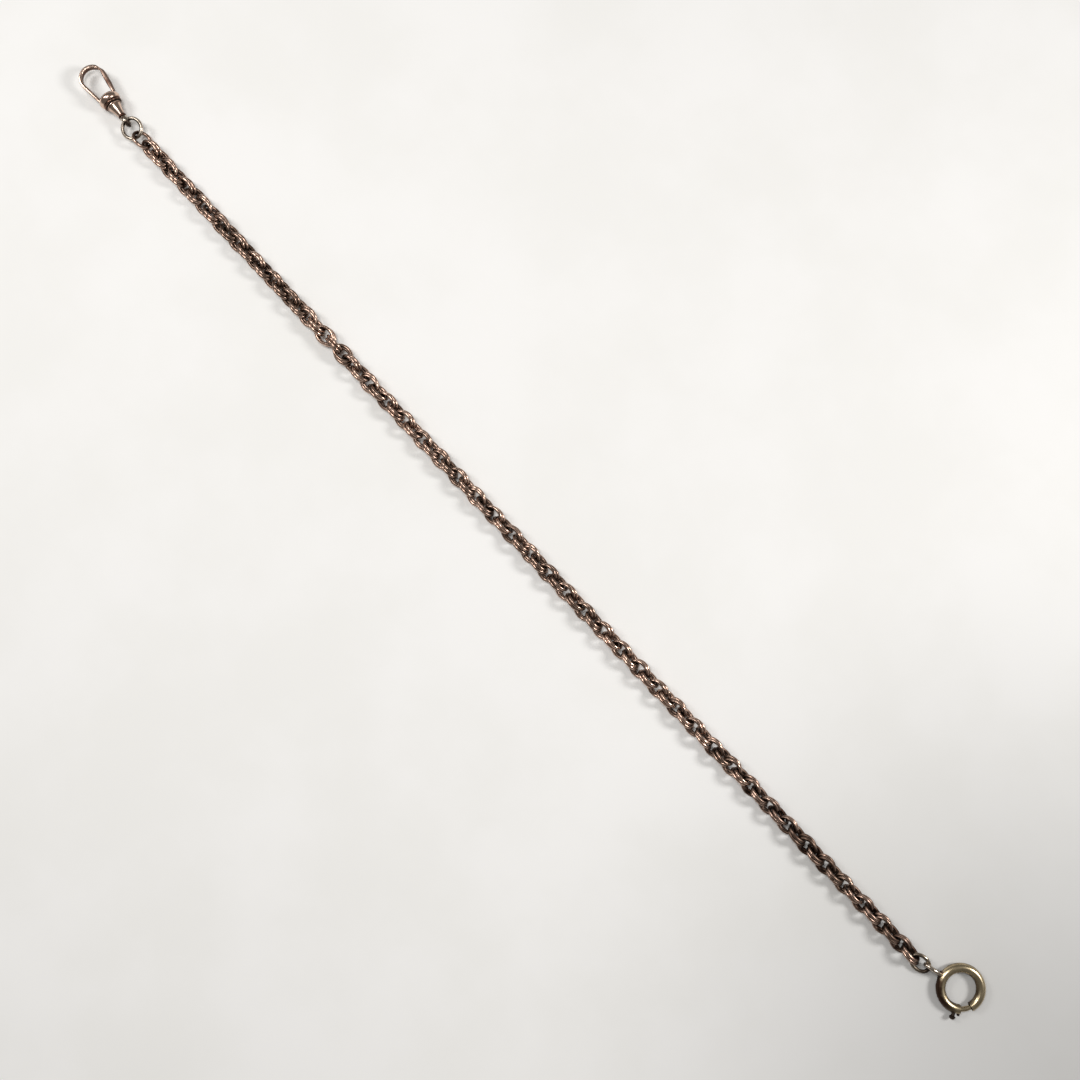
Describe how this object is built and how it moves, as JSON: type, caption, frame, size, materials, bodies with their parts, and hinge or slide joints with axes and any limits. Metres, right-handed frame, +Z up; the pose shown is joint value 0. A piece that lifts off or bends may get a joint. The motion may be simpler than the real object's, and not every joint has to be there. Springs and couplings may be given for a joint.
{
  "type": "pocket watch chain",
  "caption": "Pocket watch chain: a swivel hook with a sprung gate, a double-link cable chain of paired oval rings, and a spring ring clasp with a thumb peg.",
  "frame": {"origin": "middle of the chain's box in X and Y, on the plane that it lies on", "axes": "+X along the chain from the swivel hook to the spring ring, +Z up from the surface it lies on, +Y to the left of +X"},
  "size_m": [0.3304, 0.0132, 0.0057],
  "materials": {
    "rose_gold": "worn polished rose gold plate",
    "tarnished_rose_gold": "tarnished rose gold plate, darker in the hollows",
    "grey_steel": "dull grey worn metal",
    "yellow_brass": "worn polished yellow brass",
    "spring_steel": "dull spring steel"
  },
  "bodies": {
    "swivel_body": {"swivel_collar": "rose_gold", "swivel_hook": "rose_gold", "gate_pin": "grey_steel", "gate_spring": "spring_steel", "swivel_flange": "grey_steel", "swivel_barrel": "rose_gold"},
    "gate": {"swivel_gate": "rose_gold"},
    "swivel_eye": {"swivel_eye": "grey_steel"},
    "jump_ring": {"jump_ring": "grey_steel"},
    "top_link": {"top_link": "tarnished_rose_gold"},
    "link_pairs_01": {"link_pairs_01": "tarnished_rose_gold"},
    "link_pairs_02": {"link_pairs_02": "tarnished_rose_gold"},
    "link_pairs_03": {"link_pairs_03": "tarnished_rose_gold"},
    "link_pairs_04": {"link_pairs_04": "tarnished_rose_gold"},
    "link_pairs_05": {"link_pairs_05": "tarnished_rose_gold"},
    "link_pairs_06": {"link_pairs_06": "tarnished_rose_gold"},
    "link_pairs_07": {"link_pairs_07": "tarnished_rose_gold"},
    "link_pairs_08": {"link_pairs_08": "tarnished_rose_gold"},
    "link_pairs_09": {"link_pairs_09": "tarnished_rose_gold"},
    "link_pairs_10": {"link_pairs_10": "tarnished_rose_gold"},
    "link_pairs_11": {"link_pairs_11": "tarnished_rose_gold"},
    "link_pairs_12": {"link_pairs_12": "tarnished_rose_gold"},
    "link_pairs_13": {"link_pairs_13": "tarnished_rose_gold"},
    "link_pairs_14": {"link_pairs_14": "tarnished_rose_gold"},
    "link_pairs_15": {"link_pairs_15": "tarnished_rose_gold"},
    "link_pairs_16": {"link_pairs_16": "tarnished_rose_gold"},
    "link_pairs_17": {"link_pairs_17": "tarnished_rose_gold"},
    "link_pairs_18": {"link_pairs_18": "tarnished_rose_gold"},
    "link_pairs_19": {"link_pairs_19": "tarnished_rose_gold"},
    "link_pairs_20": {"link_pairs_20": "tarnished_rose_gold"},
    "link_pairs_21": {"link_pairs_21": "tarnished_rose_gold"},
    "link_pairs_22": {"link_pairs_22": "tarnished_rose_gold"},
    "link_pairs_23": {"link_pairs_23": "tarnished_rose_gold"},
    "link_pairs_24": {"link_pairs_24": "tarnished_rose_gold"},
    "link_pairs_25": {"link_pairs_25": "tarnished_rose_gold"},
    "link_pairs_26": {"link_pairs_26": "tarnished_rose_gold"},
    "link_pairs_27": {"link_pairs_27": "tarnished_rose_gold"},
    "link_pairs_28": {"link_pairs_28": "tarnished_rose_gold"},
    "link_pairs_29": {"link_pairs_29": "tarnished_rose_gold"},
    "link_pairs_30": {"link_pairs_30": "tarnished_rose_gold"},
    "link_pairs_31": {"link_pairs_31": "tarnished_rose_gold"},
    "link_pairs_32": {"link_pairs_32": "tarnished_rose_gold"},
    "link_pairs_33": {"link_pairs_33": "tarnished_rose_gold"},
    "link_pairs_34": {"link_pairs_34": "tarnished_rose_gold"},
    "link_pairs_35": {"link_pairs_35": "tarnished_rose_gold"},
    "link_pairs_36": {"link_pairs_36": "tarnished_rose_gold"},
    "link_pairs_37": {"link_pairs_37": "tarnished_rose_gold"},
    "link_pairs_38": {"link_pairs_38": "tarnished_rose_gold"},
    "link_pairs_39": {"link_pairs_39": "tarnished_rose_gold"},
    "link_pairs_40": {"link_pairs_40": "tarnished_rose_gold"},
    "link_pairs_41": {"link_pairs_41": "tarnished_rose_gold"},
    "link_pairs_42": {"link_pairs_42": "tarnished_rose_gold"},
    "link_pairs_43": {"link_pairs_43": "tarnished_rose_gold"},
    "end_link": {"end_link": "grey_steel"},
    "spring_ring": {"ring_tube": "yellow_brass", "ring_coil_spring": "spring_steel", "ring_coil_stop": "yellow_brass", "ring_eye": "grey_steel"},
    "bolt": {"ring_bolt": "yellow_brass", "thumb_peg": "yellow_brass"}
  },
  "joints": [
    {"name": "gate_hinge", "type": "hinge", "parent": "swivel_body", "child": "gate", "pos_m": [-0.15465, 0.00032, 0.00285], "axis": [0, 0, 1], "range_deg": [0, 26], "stiffness_Nm_per_rad": 0.0002, "springref_deg": -28.65},
    {"name": "eye_swivel", "type": "hinge", "parent": "swivel_eye", "child": "swivel_body", "pos_m": [-0.14891, -0.00231, 0.00285], "axis": [-0.9959, 0.0906, 0], "continuous": true},
    {"name": "jump_ring_hinge", "type": "hinge", "parent": "jump_ring", "child": "swivel_eye", "pos_m": [-0.14712, -0.00247, 0.00285], "axis": [-0.0906, -0.9959, 0], "range_deg": [-40, 40]},
    {"name": "top_link_hinge", "type": "hinge", "parent": "top_link", "child": "jump_ring", "pos_m": [-0.14495, -0.00267, 0.00263], "axis": [-0.0604, 0.2654, -0.9623], "range_deg": [-40, 40]},
    {"name": "link_01_hinge", "type": "hinge", "parent": "link_pairs_01", "child": "top_link", "pos_m": [-0.13806, -0.00266, 0.00193], "axis": [0.0055, 0.7071, -0.7071], "range_deg": [-40, 40]},
    {"name": "link_02_hinge", "type": "hinge", "parent": "link_pairs_02", "child": "link_pairs_01", "pos_m": [-0.13355, -0.0027, 0.00193], "axis": [-0.0054, -0.7071, -0.7071], "range_deg": [-40, 40]},
    {"name": "link_03_hinge", "type": "hinge", "parent": "link_pairs_03", "child": "link_pairs_02", "pos_m": [-0.12466, -0.00276, 0.00193], "axis": [-0.005, -0.7071, 0.7071], "range_deg": [-40, 40]},
    {"name": "link_04_hinge", "type": "hinge", "parent": "link_pairs_04", "child": "link_pairs_03", "pos_m": [-0.12015, -0.0028, 0.00193], "axis": [0.0049, 0.7071, 0.7071], "range_deg": [-40, 40]},
    {"name": "link_05_hinge", "type": "hinge", "parent": "link_pairs_05", "child": "link_pairs_04", "pos_m": [-0.11126, -0.00285, 0.00193], "axis": [0.0045, 0.7071, -0.7071], "range_deg": [-40, 40]},
    {"name": "link_06_hinge", "type": "hinge", "parent": "link_pairs_06", "child": "link_pairs_05", "pos_m": [-0.10675, -0.00288, 0.00193], "axis": [-0.0043, -0.7071, -0.7071], "range_deg": [-40, 40]},
    {"name": "link_07_hinge", "type": "hinge", "parent": "link_pairs_07", "child": "link_pairs_06", "pos_m": [-0.09786, -0.00293, 0.00193], "axis": [-0.004, -0.7071, 0.7071], "range_deg": [-40, 40]},
    {"name": "link_08_hinge", "type": "hinge", "parent": "link_pairs_08", "child": "link_pairs_07", "pos_m": [-0.09335, -0.00296, 0.00193], "axis": [0.0038, 0.7071, 0.7071], "range_deg": [-40, 40]},
    {"name": "link_09_hinge", "type": "hinge", "parent": "link_pairs_09", "child": "link_pairs_08", "pos_m": [-0.08446, -0.003, 0.00193], "axis": [0.0034, 0.7071, -0.7071], "range_deg": [-40, 40]},
    {"name": "link_10_hinge", "type": "hinge", "parent": "link_pairs_10", "child": "link_pairs_09", "pos_m": [-0.07995, -0.00303, 0.00195], "axis": [-0.0033, -0.718, -0.696], "range_deg": [-40, 40]},
    {"name": "link_11_hinge", "type": "hinge", "parent": "link_pairs_11", "child": "link_pairs_10", "pos_m": [-0.07106, -0.00307, 0.00224], "axis": [-0.0008, -0.1975, 0.9803], "range_deg": [-40, 40]},
    {"name": "link_12_hinge", "type": "hinge", "parent": "link_pairs_12", "child": "link_pairs_11", "pos_m": [-0.06655, -0.00308, 0.00223], "axis": [0.0039, 0.9962, -0.0872], "range_deg": [-40, 40]},
    {"name": "link_13_hinge", "type": "hinge", "parent": "link_pairs_13", "child": "link_pairs_12", "pos_m": [-0.05766, -0.00312, 0.00198], "axis": [-0.0025, -0.7384, -0.6744], "range_deg": [-40, 40]},
    {"name": "link_14_hinge", "type": "hinge", "parent": "link_pairs_14", "child": "link_pairs_13", "pos_m": [-0.05315, -0.00313, 0.00207], "axis": [-0.0019, -0.5863, 0.8101], "range_deg": [-40, 40]},
    {"name": "link_15_hinge", "type": "hinge", "parent": "link_pairs_15", "child": "link_pairs_14", "pos_m": [-0.04426, -0.00316, 0.00209], "axis": [0.0021, 0.8191, 0.5736], "range_deg": [-40, 40]},
    {"name": "link_16_hinge", "type": "hinge", "parent": "link_pairs_16", "child": "link_pairs_15", "pos_m": [-0.03975, -0.00317, 0.00209], "axis": [0.0014, 0.5736, -0.8192], "range_deg": [-40, 40]},
    {"name": "link_17_hinge", "type": "hinge", "parent": "link_pairs_17", "child": "link_pairs_16", "pos_m": [-0.03086, -0.00319, 0.00209], "axis": [-0.0015, -0.8192, -0.5736], "range_deg": [-40, 40]},
    {"name": "link_18_hinge", "type": "hinge", "parent": "link_pairs_18", "child": "link_pairs_17", "pos_m": [-0.02635, -0.00319, 0.00209], "axis": [-0.001, -0.5736, 0.8192], "range_deg": [-40, 40]},
    {"name": "link_19_hinge", "type": "hinge", "parent": "link_pairs_19", "child": "link_pairs_18", "pos_m": [-0.01746, -0.00321, 0.00209], "axis": [0.0009, 0.8192, 0.5736], "range_deg": [-40, 40]},
    {"name": "link_20_hinge", "type": "hinge", "parent": "link_pairs_20", "child": "link_pairs_19", "pos_m": [-0.01295, -0.00321, 0.00209], "axis": [0.0005, 0.5736, -0.8192], "range_deg": [-40, 40]},
    {"name": "link_21_hinge", "type": "hinge", "parent": "link_pairs_21", "child": "link_pairs_20", "pos_m": [-0.00406, -0.00322, 0.00209], "axis": [-0.0003, -0.8192, -0.5736], "range_deg": [-40, 40]},
    {"name": "link_22_hinge", "type": "hinge", "parent": "link_pairs_22", "child": "link_pairs_21", "pos_m": [0.00045, -0.00322, 0.00209], "axis": [-0.0001, -0.5736, 0.8192], "range_deg": [-40, 40]},
    {"name": "link_23_hinge", "type": "hinge", "parent": "link_pairs_22", "child": "link_pairs_23", "pos_m": [0.00934, -0.00322, 0.00209], "axis": [0.0003, -0.8192, -0.5736], "range_deg": [-40, 40]},
    {"name": "link_24_hinge", "type": "hinge", "parent": "link_pairs_23", "child": "link_pairs_24", "pos_m": [0.01385, -0.00322, 0.00209], "axis": [0.0003, -0.5736, 0.8192], "range_deg": [-40, 40]},
    {"name": "link_25_hinge", "type": "hinge", "parent": "link_pairs_24", "child": "link_pairs_25", "pos_m": [0.02274, -0.00321, 0.00209], "axis": [-0.0009, 0.8192, 0.5736], "range_deg": [-40, 40]},
    {"name": "link_26_hinge", "type": "hinge", "parent": "link_pairs_25", "child": "link_pairs_26", "pos_m": [0.02725, -0.0032, 0.00209], "axis": [-0.0008, 0.5736, -0.8192], "range_deg": [-40, 40]},
    {"name": "link_27_hinge", "type": "hinge", "parent": "link_pairs_26", "child": "link_pairs_27", "pos_m": [0.03614, -0.00319, 0.00209], "axis": [0.0015, -0.8192, -0.5736], "range_deg": [-40, 40]},
    {"name": "link_28_hinge", "type": "hinge", "parent": "link_pairs_27", "child": "link_pairs_28", "pos_m": [0.04065, -0.00318, 0.00209], "axis": [0.0012, -0.5736, 0.8192], "range_deg": [-40, 40]},
    {"name": "link_29_hinge", "type": "hinge", "parent": "link_pairs_28", "child": "link_pairs_29", "pos_m": [0.04954, -0.00316, 0.00209], "axis": [-0.0021, 0.8191, 0.5736], "range_deg": [-40, 40]},
    {"name": "link_30_hinge", "type": "hinge", "parent": "link_pairs_29", "child": "link_pairs_30", "pos_m": [0.05405, -0.00315, 0.00209], "axis": [-0.0016, 0.5736, -0.8192], "range_deg": [-40, 40]},
    {"name": "link_31_hinge", "type": "hinge", "parent": "link_pairs_30", "child": "link_pairs_31", "pos_m": [0.06294, -0.00312, 0.00209], "axis": [0.0027, -0.8191, -0.5736], "range_deg": [-40, 40]},
    {"name": "link_32_hinge", "type": "hinge", "parent": "link_pairs_31", "child": "link_pairs_32", "pos_m": [0.06745, -0.0031, 0.00209], "axis": [0.002, -0.5736, 0.8192], "range_deg": [-40, 40]},
    {"name": "link_33_hinge", "type": "hinge", "parent": "link_pairs_32", "child": "link_pairs_33", "pos_m": [0.07634, -0.00307, 0.00209], "axis": [-0.0033, 0.8191, 0.5736], "range_deg": [-40, 40]},
    {"name": "link_34_hinge", "type": "hinge", "parent": "link_pairs_33", "child": "link_pairs_34", "pos_m": [0.08085, -0.00305, 0.00209], "axis": [-0.0025, 0.5736, -0.8192], "range_deg": [-40, 40]},
    {"name": "link_35_hinge", "type": "hinge", "parent": "link_pairs_34", "child": "link_pairs_35", "pos_m": [0.08974, -0.00301, 0.00209], "axis": [0.004, -0.8191, -0.5736], "range_deg": [-40, 40]},
    {"name": "link_36_hinge", "type": "hinge", "parent": "link_pairs_35", "child": "link_pairs_36", "pos_m": [0.09425, -0.00299, 0.00209], "axis": [0.0029, -0.5736, 0.8192], "range_deg": [-40, 40]},
    {"name": "link_37_hinge", "type": "hinge", "parent": "link_pairs_36", "child": "link_pairs_37", "pos_m": [0.10314, -0.00294, 0.00209], "axis": [-0.0046, 0.8191, 0.5736], "range_deg": [-40, 40]},
    {"name": "link_38_hinge", "type": "hinge", "parent": "link_pairs_37", "child": "link_pairs_38", "pos_m": [0.10765, -0.00292, 0.00209], "axis": [-0.0033, 0.5736, -0.8192], "range_deg": [-40, 40]},
    {"name": "link_39_hinge", "type": "hinge", "parent": "link_pairs_38", "child": "link_pairs_39", "pos_m": [0.11654, -0.00286, 0.00209], "axis": [0.0052, -0.8191, -0.5736], "range_deg": [-40, 40]},
    {"name": "link_40_hinge", "type": "hinge", "parent": "link_pairs_39", "child": "link_pairs_40", "pos_m": [0.12105, -0.00283, 0.00209], "axis": [0.0037, -0.5736, 0.8192], "range_deg": [-40, 40]},
    {"name": "link_41_hinge", "type": "hinge", "parent": "link_pairs_40", "child": "link_pairs_41", "pos_m": [0.12994, -0.00277, 0.00209], "axis": [-0.0058, 0.8191, 0.5736], "range_deg": [-40, 40]},
    {"name": "link_42_hinge", "type": "hinge", "parent": "link_pairs_41", "child": "link_pairs_42", "pos_m": [0.13445, -0.00274, 0.00209], "axis": [-0.0042, 0.5736, -0.8192], "range_deg": [-40, 40]},
    {"name": "link_43_hinge", "type": "hinge", "parent": "link_pairs_42", "child": "link_pairs_43", "pos_m": [0.14347, -0.00267, 0.00209], "axis": [0.0064, -0.8191, -0.5736], "range_deg": [-40, 40]},
    {"name": "end_link_hinge", "type": "hinge", "parent": "link_pairs_43", "child": "end_link", "pos_m": [0.14437, -0.00266, 0.00209], "axis": [-0.0064, 0.8191, 0.5736], "range_deg": [-40, 40]},
    {"name": "spring_ring_hinge", "type": "hinge", "parent": "end_link", "child": "spring_ring", "pos_m": [0.14997, -0.00148, 0.00176], "axis": [-0.213, 0.977, 0], "range_deg": [-25, 35]},
    {"name": "bolt_travel", "type": "hinge", "parent": "spring_ring", "child": "bolt", "pos_m": [0.15897, 0.00048, 0.00116], "axis": [0, 0, -1], "range_deg": [0, 36], "stiffness_Nm_per_rad": 0.0002, "springref_deg": -34.38, "deforming": ["ring_coil_spring"]}
  ]
}
